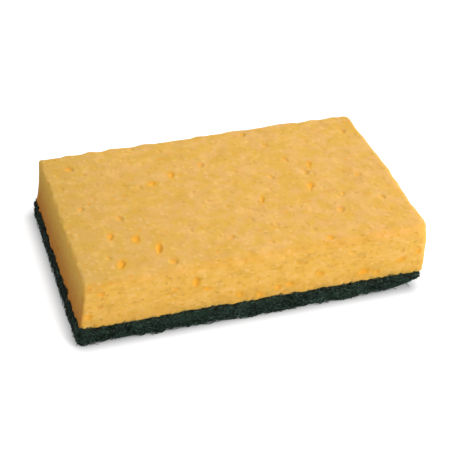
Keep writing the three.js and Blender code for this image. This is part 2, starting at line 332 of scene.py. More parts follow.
def sawn_face(name):
    """The outward direction of a face, the direction along it, how much its pores are
    flattened, and the function that turns two shares, -1 to 1 across the face and up it, into
    a place: a straight line between the walls at that height, then sawn askew."""
    walls_top = block_walls(1)

    def on_top(u, v):
        x = mix(walls_top[0], walls_top[1], (1 + u) / 2)
        y = mix(walls_top[2], walls_top[3], (1 + v) / 2)
        return np.array(sawn_askew(x, y, BLOCK_HEIGHT))

    def on_side(u, v):
        walls = block_walls((1 + v) / 2)
        x = mix(walls[0], walls[1], (1 + u) / 2)
        y = walls[2] if name == "front" else walls[3]
        return np.array(sawn_askew(x, y, BLOCK_HEIGHT * (1 + v) / 2))

    def on_end(u, v):
        walls = block_walls((1 + v) / 2)
        y = mix(walls[2], walls[3], (1 + u) / 2)
        x = walls[0] if name == "left" else walls[1]
        return np.array(sawn_askew(x, y, BLOCK_HEIGHT * (1 + v) / 2))

    return {
        "top": ((0, 0, 1), (1, 0, 0), 1, on_top),
        "front": ((0, -1, 0), (1, 0, 0), PORE_FLATTENING, on_side),
        "back": ((0, 1, 0), (1, 0, 0), PORE_FLATTENING, on_side),
        "left": ((-1, 0, 0), (0, 1, 0), PORE_FLATTENING, on_end),
        "right": ((1, 0, 0), (0, 1, 0), PORE_FLATTENING, on_end),
    }[name]


def opened_pores():
    """Centre, unit-ball matrix and reach of each pore that the solid has, by the same rule,
    and whether it is one of those that stand out."""
    pores = []
    for number, name in enumerate(["top", "front", "back", "left", "right"]):
        outward, along, flattening, place = sawn_face(name)
        outward, along = np.array(outward, float), np.array(along, float)
        mouths = [
            (u, v, long * MILLIMETRE, short * MILLIMETRE, turn)
            for u, v, long, short, turn in STANDING_OUT.get(name, [])
        ]
        for item in range(100 * number, 100 * number + CHANCE_PORES[name]):
            shares = [
                item * step + PLACE_JITTER * chance(item, use + 1)
                for use, step in enumerate([1 / PLASTIC_NUMBER, 1 / PLASTIC_NUMBER**2])
            ]
            u, v = (mix(-1, 1, share - math.floor(share)) for share in shares)
            long = mix(PORE_SMALLEST, PORE_LARGEST, chance(item, 3) ** PORE_RARITY)
            short = long * flattening * mix(PORE_NARROWEST, 1, chance(item, 4))
            most = WALL_PORE_TURN if flattening < 1 else TOP_PORE_TURN
            mouths.append((u, v, long, short, mix(-most, most, chance(item, 5))))
        pores_here = []
        for u, v, long, short, turn in mouths:
            depth = PORE_DEPTH_SHARE * (long + short) / 4
            spin = math.radians(turn)
            across = np.cross(outward, along)
            first = along * math.cos(spin) + across * math.sin(spin)
            second = across * math.cos(spin) - along * math.sin(spin)
            into_ball = np.stack([first / (long / 2), second / (short / 2), outward / depth])
            stands_out = len(pores_here) < len(STANDING_OUT.get(name, []))
            centre = place(u, v) - PORE_SINK * depth * outward
            pores_here.append((centre, into_ball, long, stands_out))
        pores += pores_here
    return pores


def foam_depth(points, inward, spacing, radius, filled, seed):
    """The depth of the opened pores of one size. Each cell of a lattice, squashed in height,
    may hold one flat ellipsoid with a place, size and turn of its own. A point looks at the
    27 cells round it and keeps the deepest."""
    cell_size = spacing * np.array([1, 1, FOAM_FLATTENING])
    home = np.floor(points / cell_size)
    deepest = np.zeros(len(points))
    for step in np.ndindex(3, 3, 3):
        cells = home + np.array(step) - 1
        size = radius * mix(FOAM_SMALLEST, 1, cell_chance(cells, seed + 1) ** FOAM_RARITY)
        size = size * (cell_chance(cells, seed) < filled)
        place = np.stack([cell_chance(cells, seed + k) for k in (2, 3, 4)], axis=-1)
        centre = (cells + mix(*FOAM_PLACES, place)) * cell_size
        near = (np.abs(points - centre).max(axis=1) < FOAM_LONG[1] * size) & (size > 0)
        if not near.any():
            continue
        cells, size, centre = cells[near], size[near], centre[near]
        turn = np.pi * cell_chance(cells, seed + 5)
        long = size * mix(*FOAM_LONG, cell_chance(cells, seed + 6))
        short = size * mix(*FOAM_SHORT, cell_chance(cells, seed + 7))
        flat = size * FOAM_FLATTENING
        into_ball = np.zeros((len(cells), 3, 3))
        into_ball[:, 0, 0], into_ball[:, 0, 1] = np.cos(turn) / long, np.sin(turn) / long
        into_ball[:, 1, 0], into_ball[:, 1, 1] = -np.sin(turn) / short, np.cos(turn) / short
        into_ball[:, 2, 2] = 1 / flat
        depth = exit_depth(points[near], inward[near], centre, into_ball)
        deepest[near] = np.maximum(deepest[near], depth)
    return deepest


places, outwards = points_and_normals(sponge.data)
opened, standing_out, halo = np.zeros((3, len(places)))
for centre, into_ball, reach, stands_out in opened_pores():
    near = np.abs(places - centre).max(axis=1) < PORE_SEARCH * reach
    depth = exit_depth(places[near], -outwards[near], centre, into_ball)
    if stands_out:
        standing_out[near] = np.maximum(standing_out[near], LARGE_PORE_DEPTH * depth)
        away = np.linalg.norm((places[near] - centre) @ into_ball.T, axis=1)
        halo[near] = np.maximum(halo[near], (HALO_REACH - away) / (HALO_REACH - 1))
    else:
        opened[near] = np.maximum(opened[near], SMALL_PORE_DEPTH * depth)
for pores in FOAM_PORES:
    fine_depth = SMALL_PORE_DEPTH * foam_depth(places, -outwards, **pores)
    opened = np.maximum(opened, np.minimum(fine_depth, FINE_PORE_DEEPEST))
opened = np.maximum(opened, standing_out)
at_edge = 4 * outwards[:, 2] ** 2 * (1 - outwards[:, 2] ** 2)
above_foot = places[:, 2] - BLOCK_LOW[2]
saw = waves(places, SAW_WAVES) - at_edge * waves(places, EDGE_NIBBLES)
saw += waves(places, FOOT_CRUMBS) * np.exp(-above_foot / FOOT_CRUMB_REACH)
glued = above_foot < TOUCHING
saw = np.where(glued, 0, saw)
opened = np.where(glued & (outwards[:, 2] < FACING_DOWN), 0, opened)
places = places + outwards * (saw - opened)[:, None]
places[:, 2] = np.where(glued, BLOCK_LOW[2], places[:, 2])
move_points(sponge.data, places)
# These depths also set where the pores' painted bounce light goes.
store(sponge.data, "pore_depth", opened / MILLIMETRE)
store(sponge.data, "large_pore", standing_out / MILLIMETRE)
store(sponge.data, "halo", np.clip(halo, 0, 1))
from_left = (places[:, 0] - BLOCK_LOW[0]) / LEFT_PART_REACH
store(sponge.data, "left_part", np.exp(-from_left) * np.clip(outwards[:, 2], 0, 1))
# Painted shade on the left end, which faces away from the lamp.
store(sponge.data, "painted_end_shade", np.interp(-outwards[:, 0], LEFT_END_TURN, (0, 1)))
store(sponge.data, "bright_wall", np.maximum(np.abs(outwards[:, 1]), outwards[:, 0]))
# Painted shade along the rounded top edge.
store(sponge.data, "edge_painted_shade", at_edge)
store(sponge.data, "wall_height", (places[:, 2] - BLOCK_LOW[2]) / BLOCK_HEIGHT)


class Value:
    """A number that varies over a surface: one socket, with the sums that are used on it."""

    def __init__(self, finish, socket):
        self.finish, self.socket = finish, socket

    def sum(self, operation, *terms):
        """One Math node on the terms, which may be numbers or values."""
        node = self.finish.node(
            "ShaderNodeMath", {"operation": operation}, dict(enumerate(terms))
        )
        return Value(self.finish, node.outputs[0])

    def __add__(self, other):
        return self.sum("ADD", self, other)

    __radd__ = __add__

    def __sub__(self, other):
        return self.sum("SUBTRACT", self, other)

    def __rsub__(self, other):
        return self.sum("SUBTRACT", other, self)

    def __mul__(self, other):
        return self.sum("MULTIPLY", self, other)

    __rmul__ = __mul__

    def between(self, low, high):
        """0 below low and 1 above high, smooth between them. low may be above high."""
        node = self.finish.node(
            "ShaderNodeMapRange",
            {"interpolation_type": "SMOOTHSTEP"},
            {"Value": self, "From Min": low, "From Max": high},
        )
        return Value(self.finish, node.outputs["Result"])


class Finish:
    """A material, its nodes and its shader, whose sockets are set by name."""

    def __init__(self, name, **shader):
        self.material = bpy.data.materials.new(name)
        self.material.use_nodes = True
        self.tree = self.material.node_tree
        self.shader = self.tree.nodes["Principled BSDF"]
        self.fill(self.shader, shader)

    def fill(self, node, values):
        """Sets or links a node's sockets, by name or by number."""
        for key, value in values.items():
            socket = node.inputs[key.replace("_", " ") if isinstance(key, str) else key]
            if isinstance(value, Value):
                self.tree.links.new(value.socket, socket)
            elif isinstance(value, bpy.types.NodeSocket):
                self.tree.links.new(value, socket)
            else:
                socket.default_value = value

    def node(self, kind, settings=None, values=None):
        """Adds a node of any kind. The settings come before the values or links."""
        node = self.tree.nodes.new(kind)
        for key, value in (settings or {}).items():
            setattr(node, key, value)
        self.fill(node, values or {})
        return node

    def place(self):
        """The place on the piece, in metres."""
        return self.node("ShaderNodeTexCoord").outputs["Object"]

    def stretched(self, scale):
        """The place with each axis multiplied, so that a pattern is squashed along it."""
        mapping = self.node("ShaderNodeMapping", None, {"Vector": self.place(), "Scale": scale})
        return mapping.outputs["Vector"]

    def kept(self, name):
        """A number that was stored on the mesh."""
        node = self.node("ShaderNodeAttribute", {"attribute_name": name})
        return Value(self, node.outputs["Fac"])

    def noise(self, vector, scale, detail=2.0, roughness=0.5):
        """Smooth noise from 0 to 1, with this many waves to the metre."""
        node = self.node(
            "ShaderNodeTexNoise",
            None,
            {"Vector": vector, "Scale": scale, "Detail": detail, "Roughness": roughness},
        )
        return Value(self, node.outputs["Fac"])

    def specks(self, vector, scale, size, filled, margin=0.02, core=0.4):
        """Round specks in a share of the cells: 1 in the core of one, 0 outside."""
        cells = self.node("ShaderNodeTexVoronoi", None, {"Vector": vector, "Scale": scale})
        parts = self.node("ShaderNodeSeparateColor", None, {0: cells.outputs["Color"]})
        chosen = Value(self, parts.outputs[0]).between(filled + margin, filled - margin)
        return Value(self, cells.outputs["Distance"]).between(size, size * core) * chosen

    def mixed(self, share, first, second):
        """The first colour with this share of the second mixed in."""
        node = self.node(
            "ShaderNodeMix", {"data_type": "RGBA"}, {"Factor": share, 6: first, 7: second}
        )
        return node.outputs[2]

    def bump(self, height, distance, strength=1.0, normal=None):
        """The surface's direction, tilted as if it were raised by height times distance."""
        values = {"Height": height, "Distance": distance, "Strength": strength}
        if normal is not None:
            values["Normal"] = normal
        return self.node("ShaderNodeBump", None, values).outputs["Normal"]

    def shade(self, **values):
        """Sets or links the shader's own sockets."""
        self.fill(self.shader, values)


def seen(red, green, blue):
    """A colour as the eye's 0 to 255 numbers, made linear by the usual screen curve."""
    shares = [value / 255 for value in (red, green, blue)]
    return tuple(
        share / 12.92 if share <= 0.04045 else ((share + 0.055) / 1.055) ** 2.4
        for share in shares
    ) + (1.0,)


CELLULOSE_GOLD = seen(234, 186, 86)
CELLULOSE_PEACH = seen(236, 188, 108)
CELLULOSE_PALE = seen(249, 205, 122)
CELLULOSE_DEEP = seen(218, 167, 74)
SPECK_PALE = seen(254, 216, 146)
SPECK_GOLD = seen(232, 174, 56)
SPECK_OLIVE = seen(200, 152, 64)
SPECK_ORANGE = seen(240, 168, 54)
# Painted light: the second of these, the walls' gold, makes the walls more golden than the top,
# which takes a pale sheen from the overhead light.
LEFT_DULL, WALL_LIGHTING_GOLD, HALO_GOLD = seen(204, 170, 80), seen(252, 203, 84), seen(238, 176, 54)
# Painted shade: the left end is painted a redder, darker orange, darkest at the foot beside the
# pad.
FOOT_OF_SHADED_END, TOP_OF_SHADED_END = seen(212, 130, 48), seen(252, 200, 86)
# Painted bounce light: the pore walls are painted a richer orange than the skin, for light
# scattered inside the pores.
PORE_BOUNCE_LIGHT, LARGE_PORE_BOUNCE_LIGHT = seen(246, 184, 66), seen(250, 184, 58)

# The foam's mottling: waves to the metre, detail and roughness.
FOAM_NOISE = {
    "broad": (62, 3, 0.6),
    "medium": (115, 2, 0.6),
    "hue": (180, 2, 0.5),
    "fine": (260, 2, 0.5),
    "grain": (800, 2, 0.5),
}
# Its specks: cells to the metre, a speck's size in its cell, the share of cells that have one.
FOAM_SPECKS = {
    "pale": (380, 0.52, 0.25),
    "golden": (330, 0.5, 0.25),
    "olive": (400, 0.38, 0.13),
    "orange": (180, 0.22, 0.25),
}
FOAM_SQUASH, FOAM_WARP_SCALE, FOAM_WARP = 1.6, 600, 0.0014
FOAM_RELIEF, FOAM_RELIEF_STRENGTH = 0.0003, 0.3

foam = Finish("cellulose", Roughness=0.95, Subsurface_Weight=0.25, Subsurface_Scale=0.003)
foam.shade(Subsurface_Radius=(1.0, 0.45, 0.1), Specular_IOR_Level=0.2, Diffuse_Roughness=1.0)
flat_cells = foam.stretched((1, 1, FOAM_SQUASH))
warp_settings = {"Vector": flat_cells, "Scale": FOAM_WARP_SCALE, "Detail": 1}
warp = foam.node("ShaderNodeTexNoise", None, warp_settings)
warped = foam.node(
    "ShaderNodeVectorMath",
    {"operation": "MULTIPLY_ADD"},
    {0: warp.outputs["Color"], 1: (FOAM_WARP, FOAM_WARP, FOAM_WARP), 2: flat_cells},
).outputs[0]
noise = {name: foam.noise(flat_cells, *settings) for name, settings in FOAM_NOISE.items()}
specks = {name: foam.specks(warped, *settings) for name, settings in FOAM_SPECKS.items()}
tone = 0.5 * noise["medium"] + 0.36 * noise["fine"] + 0.14 * noise["grain"]
hue = 0.4 * noise["broad"] + 0.6 * noise["hue"]
bright_wall, wall_height = foam.kept("bright_wall"), foam.kept("wall_height")
peachy = hue.between(0.42, 0.58) * (1 - 0.5 * bright_wall)
end_shade_colour = foam.mixed(wall_height.between(0.0, 1.0), FOOT_OF_SHADED_END, TOP_OF_SHADED_END)

# What the skin's colour is mixed with, one after the other, and how much of it.
skin = foam.mixed(peachy, CELLULOSE_GOLD, CELLULOSE_PEACH)
for amount, tint in [
    (foam.kept("left_part") * 0.5, LEFT_DULL),
    # painted light: the walls more golden than the top, which takes a sheen from above
    (bright_wall * 0.3, WALL_LIGHTING_GOLD),
    (tone.between(0.5, 0.64) * (0.4 + 0.2 * bright_wall), CELLULOSE_PALE),
    (tone.between(0.5, 0.36) * (0.4 + 0.2 * bright_wall), CELLULOSE_DEEP),
    (specks["pale"] * (0.24 + 0.08 * bright_wall), SPECK_PALE),
    (specks["golden"] * (0.34 + 0.3 * bright_wall), SPECK_GOLD),
    (specks["olive"] * (0.4 + 0.25 * bright_wall), SPECK_OLIVE),
    # darker towards the foot of the walls
    (wall_height.between(0.4, 0.0) * bright_wall * 0.35, CELLULOSE_DEEP),
    (specks["orange"] * 0.5, SPECK_ORANGE),
    # painted shade along the rounded top edge
    (foam.kept("edge_painted_shade") * 0.1, CELLULOSE_DEEP),
    (foam.kept("halo").between(0, 1) * 0.55, HALO_GOLD),
    # painted shade on the left end, darkest at its foot
    (foam.kept("painted_end_shade") * 0.82, end_shade_colour),
    # painted bounce light inside the pores
    (foam.kept("pore_depth").between(0.15, 0.9) * 0.7, PORE_BOUNCE_LIGHT),
    (foam.kept("large_pore").between(0, 0.9) * 0.85, LARGE_PORE_BOUNCE_LIGHT),
]:
    skin = foam.mixed(amount, skin, tint)
relief = specks["pale"] - specks["golden"] + tone
ridges = foam.bump(noise["grain"], FOAM_RELIEF, FOAM_RELIEF_STRENGTH)
relief_normal = foam.bump(relief, FOAM_RELIEF, FOAM_RELIEF_STRENGTH, ridges)
foam.shade(Base_Color=skin, Normal=relief_normal)
sponge.data.materials.append(foam.material)
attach(sponge, "root")
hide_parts("sponge_block")


# The scouring pad: a mat of curled nylon fibres, sprayed with resin and grit and cured, cut a
# little larger than the block and glued under it. Its body is the dense inside of the mat.
PAD_LOW, PAD_HIGH = (np.array(corner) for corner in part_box("scouring_pad"))
PAD_THICKNESS = PAD_HIGH[2] - PAD_LOW[2]
# How far the pad stands out past the straight block. Below zero, it is set back.
LEFT_OUT, RIGHT_OUT, FRONT_OUT, BACK_OUT = 0.0013, -0.0013, 0.0022, 0.0006
PAD_WALLS = (
    BLOCK_X - BLOCK_LENGTH / 2 - LEFT_OUT,
    BLOCK_X + BLOCK_LENGTH / 2 + RIGHT_OUT,
    BLOCK_Y - BLOCK_WIDTH / 2 - FRONT_OUT,
    BLOCK_Y + BLOCK_WIDTH / 2 + BACK_OUT,
)
PAD_CORNER, PAD_WORN_CORNER = 0.0024, 0.013
PAD_STEP = 0.0008
PAD_LEDGE = 0.006
PAD_PROFILE_HEIGHTS = [0.0, 0.16, 0.38, 0.6, 0.82, 1.0]
PAD_PROFILE_INSETS = [0.0005, 0.0002, 0.0, 0.00015, 0.0001, 0.0005]
PAD_WORN = [PAD_WORN_CORNER, PAD_WORN_CORNER / 2, PAD_CORNER, PAD_CORNER, PAD_CORNER, PAD_CORNER]
PAD_SHRINK = 0.0003
PAD_EDGE_SHARES = np.linspace(0.985, 0.04, 13)
PAD_FOOT_SHARE, PAD_FOOT_INSET = 0.012, 0.0005

# The unevenness of the felt, as the saw's waves on the block, and how far it may reach.
FELT_WAVES = [(0.0095, 0.00040, 61), (0.0036, 0.00060, 67), (0.0017, 0.00050, 71)]
FELT_ABOVE_FOOT, FELT_OVER_TOP, HIDDEN_MARGIN = 0.0001, 0.0002, 0.002

# The chewed rim: how far it is lifted, over what share of the thickness, and the noise for it.
FOOT_LIFT, FOOT_SHARE, FOOT_BITES = 0.0018, 0.5, [(0.0062, 1.0, 91), (0.0027, 0.7, 93)]
LEDGE_LIFT, LEDGE_SHARE, LEDGE_MARGIN = 0.0006, 0.4, 0.0006
LEDGE_HEAPS = [(0.0045, 1.0, 95), (0.0021, 0.6, 97), (0.0012, 0.5, 99)]
RIM_REACH, RIM_FULL = 0.004, 0.2
CORNER_LIFT, CORNER_REACH = 0.0048, 0.0155


def pad_level(u, v, share, inset):
    """The plan of the pad at a share of its thickness, drawn in by the inset. The profile
    between the named levels is a straight line, and the front right corner is worn round
    towards the foot."""
    profile = np.interp(share, PAD_PROFILE_HEIGHTS, PAD_PROFILE_INSETS) + inset
    worn = np.interp(share, PAD_PROFILE_HEIGHTS, PAD_WORN)
    walls = (
        PAD_WALLS[0] + profile,
        PAD_WALLS[1] - profile,
        PAD_WALLS[2] + profile,
        PAD_WALLS[3] - profile,
    )
    radii = {
        "left_front": PAD_CORNER,
        "left_back": PAD_CORNER,
        "right_front": worn,
        "right_back": PAD_CORNER,
    }
    x, y = rounded_plan(u, v, walls, radii)
    return np.stack([x, y, np.full_like(x, PAD_LOW[2] + PAD_THICKNESS * share)], axis=-1)


ledge_insets = np.arange(PAD_LEDGE, 0, -PAD_STEP) + PAD_SHRINK
pad_profile = [(1.0, inset) for inset in ledge_insets]
pad_profile += [(share, PAD_SHRINK) for share in PAD_EDGE_SHARES]
pad_profile += [(PAD_FOOT_SHARE, PAD_SHRINK + PAD_FOOT_INSET)]


def pad_rings(u, v):
    """The pad's outline at each level of the profile, over the ledge and down the edge."""
    return np.stack([pad_level(u, v, share, inset) for share, inset in pad_profile])


def pad_underside(u, v):
    """The pad's underside: the last level of the profile, filled in."""
    return pad_level(u, v, *pad_profile[-1])


def under_block(x, y, margin):
    """Whether a place is under the block and at least this margin inside its outline."""
    inside_x = np.abs(x - BLOCK_X) < BLOCK_LENGTH / 2 - margin
    return inside_x & (np.abs(y - BLOCK_Y) < BLOCK_WIDTH / 2 - margin)


def chewed(places):
    """The pad with its rim worn away: near the edge, the foot is raised and the ledge beside
    the block is heaped up, by smooth noise where it is above zero. Towards the right front
    corner the foot is worn thinner, by exp(-distance / reach)."""
    x, y, z = places.reshape(-1, 3).T
    sides = [x - PAD_WALLS[0], PAD_WALLS[1] - x, y - PAD_WALLS[2], PAD_WALLS[3] - y]
    at_edge = np.clip(1 + RIM_FULL - np.min(sides, axis=0) / RIM_REACH, 0, 1)
    beside = ~under_block(x, y, LEDGE_MARGIN)
    share = (z - PAD_LOW[2]) / PAD_THICKNESS
    at_foot = np.clip(1 - share / FOOT_SHARE, 0, 1)
    at_top = np.clip(1 - (1 - share) / LEDGE_SHARE, 0, 1)
    flat = np.stack([x, y, 0 * z], axis=1)
    bites, heaps = (np.clip(waves(flat, kind), 0, 1) for kind in (FOOT_BITES, LEDGE_HEAPS))
    from_corner = np.hypot(x - PAD_WALLS[1], y - PAD_WALLS[2])
    lift = FOOT_LIFT * bites * at_foot * at_edge + LEDGE_LIFT * heaps * at_top * beside
    lift += CORNER_LIFT * np.exp(-from_corner / CORNER_REACH) * np.clip(1 - share, 0, 1)
    return places + np.stack([0 * x, 0 * x, lift], axis=1).reshape(places.shape)


pad_size = PAD_HIGH - PAD_LOW
pad = slab_skin(
    "felted_pad",
    round(pad_size[0] / PAD_STEP),
    round(pad_size[1] / PAD_STEP),
    pad_rings,
    pad_underside,
    upwards=False,
)
places, outwards = points_and_normals(pad.data)
hidden = places[:, 2] > PAD_HIGH[2] - TOUCHING
hidden &= under_block(places[:, 0], places[:, 1], HIDDEN_MARGIN)
felt = np.where(hidden, 0, waves(places, FELT_WAVES))
places = places + outwards * felt[:, None]
felt_limits = PAD_LOW[2] + FELT_ABOVE_FOOT, PAD_HIGH[2] + FELT_OVER_TOP
places[:, 2] = np.clip(places[:, 2], *felt_limits)
move_points(pad.data, chewed(places))
store(pad.data, "felt_height", felt / MILLIMETRE)

FIBRE_GREEN = seen(32, 58, 44)
FIBRE_DARK = seen(6, 20, 11)
FIBRE_LIGHT = seen(86, 116, 102)
TANGLE, CLUMP = (900, 4, 0.7), (260, 2, 0.5)
TANGLE_SQUASH, TANGLE_RELIEF = 1.8, 0.0006

mat = Finish("scouring_mat", Roughness=0.8, Specular_IOR_Level=0.2)
tangle = mat.noise(mat.stretched((1, 1, TANGLE_SQUASH)), *TANGLE)
clump = mat.noise(mat.place(), *CLUMP)
tint = mat.mixed(tangle.between(0.35, 0.6), FIBRE_DARK, FIBRE_GREEN)
tint = mat.mixed(clump.between(0.55, 0.75) * 0.5, tint, FIBRE_LIGHT)
# Painted shade: the felt's hollows, where it is pushed in, are painted darker.
tint = mat.mixed(mat.kept("felt_height").between(-0.1, -0.8), tint, FIBRE_DARK)
mat.shade(Base_Color=tint, Normal=mat.bump(tangle, TANGLE_RELIEF))
pad.data.materials.append(mat.material)
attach(pad, "root")
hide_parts("scouring_pad")


# The loose fibres of the mat: curled nylon with a coat of resin. Those round the cut edge
# loop out of the mat and back, and some stand free where the blade cut them.
EDGE_FIBRES, EDGE_STEPS, EDGE_RUN, FIBRE_SEED = 6100, 6, 0.51, 12
FIBRE_RADIUS, FIBRE_LENGTH, FIBRE_SLANT = (0.00008, 0.00017), (0.0016, 0.0052), 0.55
FIBRE_BEND, BEND_TURNS, RISE_SHARE = 0.0011, (0.6, 1.1), 0.7
FIBRE_FOOT, FIBRE_LOWEST, FIBRE_HIGHEST = 0.03, 0.02, 1.05
STAND_LEAST, STAND_MORE, STAND_RARITY = 0.00012, 0.0007, 2.2
ROOT_DEPTH, FREE_ROOT_DEPTH, FREE_STAND, FREE_FIBRES = 0.00035, 0.0003, 0.0008, 0.3
LEDGE_FIBRES, LEDGE_WIDTH, LEDGE_BOW, SUNK = 0.35, 0.0024, 0.6, 0.0001
ACROSS_FIBRE = np.array([0.31, 0.17, 0.93])
OUTLINE_STEPS, OUTLINE_SPAN = 400, 4


def fibre_tubes(name, paths, radii, tones):
    """Thin tubes with three sides. A path's sides are laid out at 0, 120 and 240 degrees in
    the plane across it, spanned by the path's direction crossed with a fixed slanted line,
    and the direction crossed with that. One triangle closes each end."""
    count, steps = paths.shape[:2]
    ahead = np.gradient(paths, axis=1)
    ahead /= np.linalg.norm(ahead, axis=2, keepdims=True)
    side = np.cross(ahead, ACROSS_FIBRE)
    side /= np.linalg.norm(side, axis=2, keepdims=True)
    other = np.cross(ahead, side)
    angles = np.radians([0, 120, 240])[None, None, :, None]
    ring = np.cos(angles) * side[:, :, None] + np.sin(angles) * other[:, :, None]
    points = paths[:, :, None] + radii[:, None, None, None] * ring

    number = np.arange(count * steps * 3).reshape(count, steps, 3)
    after = np.roll(number, -1, axis=2)
    quads = np.stack([number[:, :-1], after[:, :-1], after[:, 1:], number[:, 1:]], axis=-1)
    ends = np.concatenate([number[:, 0, ::-1], number[:, -1]])
    mesh = bpy.data.meshes.new(name)
    mesh.from_pydata(
        points.reshape(-1, 3).tolist(), [], quads.reshape(-1, 4).tolist() + ends.tolist()
    )
    mesh.update()
    mesh.shade_smooth()
    store(mesh, "fibre_tone", np.repeat(tones, steps * 3))
    piece = bpy.data.objects.new(name, mesh)
    bpy.context.scene.collection.objects.link(piece)
    return piece


def pad_outline(along, share):
    """Points on the pad's edge at a distance along it and a share of its thickness, and the
    outward direction there, read off a fine outline by straight lines."""
    side, edge = np.linspace(-1, 1, OUTLINE_STEPS), np.ones(OUTLINE_STEPS)
    rim_u = np.concatenate([edge, -side, -edge, side])
    rim_v = np.concatenate([side, edge, -side, -edge])
    outlines = np.stack([pad_level(rim_u, rim_v, level, 0) for level in PAD_PROFILE_HEIGHTS])
    widest = outlines[np.argmin(PAD_PROFILE_INSETS)]
    lengths = np.linalg.norm(np.diff(widest, axis=0), axis=1)
    run = np.concatenate([[0], np.cumsum(lengths)])
    place = np.interp(along % run[-1], run, np.arange(len(run)))
    level = np.interp(share, PAD_PROFILE_HEIGHTS, np.arange(len(PAD_PROFILE_HEIGHTS)))
    first, low = np.floor(place).astype(int), np.floor(level).astype(int)
    second = np.minimum(first + 1, len(run) - 1)
    high = np.minimum(low + 1, len(PAD_PROFILE_HEIGHTS) - 1)
    s, t = (place - first)[..., None], (level - low)[..., None]
    lower = outlines[low, first] * (1 - s) + outlines[low, second] * s
    upper = outlines[high, first] * (1 - s) + outlines[high, second] * s
    run_way = widest[np.minimum(first + OUTLINE_SPAN, len(run) - 1)]
    run_way = run_way - widest[np.maximum(first - OUTLINE_SPAN, 0)]
    run_way /= np.maximum(np.linalg.norm(run_way, axis=-1, keepdims=True), 1e-9)
    outward = np.stack([run_way[..., 1], -run_way[..., 0], np.zeros_like(run_way[..., 0])], -1)
    return lower * (1 - t) + upper * t, outward


def edge_fibre_paths(count, rng):
    """Each fibre runs a few millimetres along the edge at a slant, with two slow bends, and
    bows outwards by a parabola. A free end keeps going outwards instead of coming back. A
    fibre whose height comes out over 1 lies on the ledge, farther in the higher it is."""
    share = np.linspace(-0.5, 0.5, EDGE_STEPS)[None]
    length = rng.uniform(*FIBRE_LENGTH, (count, 1))
    slant = rng.normal(0, FIBRE_SLANT, (count, 1))
    start = rng.uniform(0, EDGE_RUN, (count, 1))
    height = rng.uniform(FIBRE_FOOT, 1.0 + LEDGE_FIBRES, (count, 1))
    on_ledge = height > 1
    bend = rng.uniform(-FIBRE_BEND, FIBRE_BEND, (2, count, 1))
    phase = rng.uniform(0, 2 * np.pi, (2, count, 1))
    turns = np.reshape(BEND_TURNS, (2, 1, 1))
    wave = bend * np.sin(2 * np.pi * share * turns + phase)
    along = start + length * share * np.cos(slant) + wave[0]
    rise = length * share * np.sin(slant) + wave[1] * RISE_SHARE
    level = np.minimum(height, 1) + rise / PAD_THICKNESS
    raised = np.abs(level - FIBRE_LOWEST) + FIBRE_LOWEST
    level = np.where(level > FIBRE_HIGHEST, 2 * FIBRE_HIGHEST - level, raised)
    stand = STAND_LEAST + STAND_MORE * rng.random((count, 1)) ** STAND_RARITY
    bow = stand * (1 - (2 * share) ** 2) - ROOT_DEPTH * (2 * share) ** 2
    free = rng.random((count, 1)) < FREE_FIBRES
    bow = np.where(free, (stand + FREE_STAND) * (share + 0.5) - FREE_ROOT_DEPTH, bow)
    place, outward = pad_outline(along, np.where(on_ledge, 1, np.clip(level, 0, 1)))
    over_edge = np.maximum(level - 1, 0) * PAD_THICKNESS
    place[..., 2] += np.where(on_ledge, SUNK + LEDGE_BOW * bow, over_edge)
    bow = np.where(on_ledge, rise - LEDGE_WIDTH * (height - 1) / LEDGE_FIBRES, bow)
    return place + outward * (bow - SUNK)[..., None]


rng = np.random.default_rng(FIBRE_SEED)
paths = edge_fibre_paths(EDGE_FIBRES, rng)
radii = rng.uniform(*FIBRE_RADIUS, EDGE_FIBRES)
paths[..., 2] = np.maximum(paths[..., 2], PAD_LOW[2] + FIBRE_RADIUS[1])
paths = chewed(paths)
edge_fibres = fibre_tubes("edge_fibres", paths, radii, rng.random(EDGE_FIBRES))

GRIT, GRIT_RELIEF = (1500, 2, 0.6), 0.00006
nylon = Finish("resin_coated_nylon", Specular_IOR_Level=0.3)
fibre_tone = nylon.kept("fibre_tone")
grit = nylon.noise(nylon.place(), *GRIT)
coat = nylon.mixed(fibre_tone.between(0.4, 0.7), FIBRE_DARK, FIBRE_GREEN)
coat = nylon.mixed(fibre_tone.between(0.86, 0.95) * 0.6, coat, FIBRE_LIGHT)
coat = nylon.mixed(grit.between(0.54, 0.64) * 0.8, coat, FIBRE_LIGHT)
coat = nylon.mixed(grit.between(0.46, 0.38) * 0.8, coat, FIBRE_DARK)
grainy = nylon.bump(grit, GRIT_RELIEF)
nylon.shade(Base_Color=coat, Roughness=0.75 - 0.4 * grit, Normal=grainy)
edge_fibres.data.materials.append(nylon.material)
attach(edge_fibres, "root")


# The web on the pad's underside: longer fibres of the same kind that lie flat, pressed level
# when the mat was made, and cross each other in every direction.
WEB_FIBRES, WEB_STEPS = 4700, 7
WEB_LENGTH, WEB_CURL, WEB_LIFT = (0.006, 0.015), 0.9, (0.00014, 0.0007)
WEB_RIPPLE, WEB_RIPPLE_PHASE = 0.0002, 3000
WEB_START, WEB_MARGIN = 0.005, 0.0012

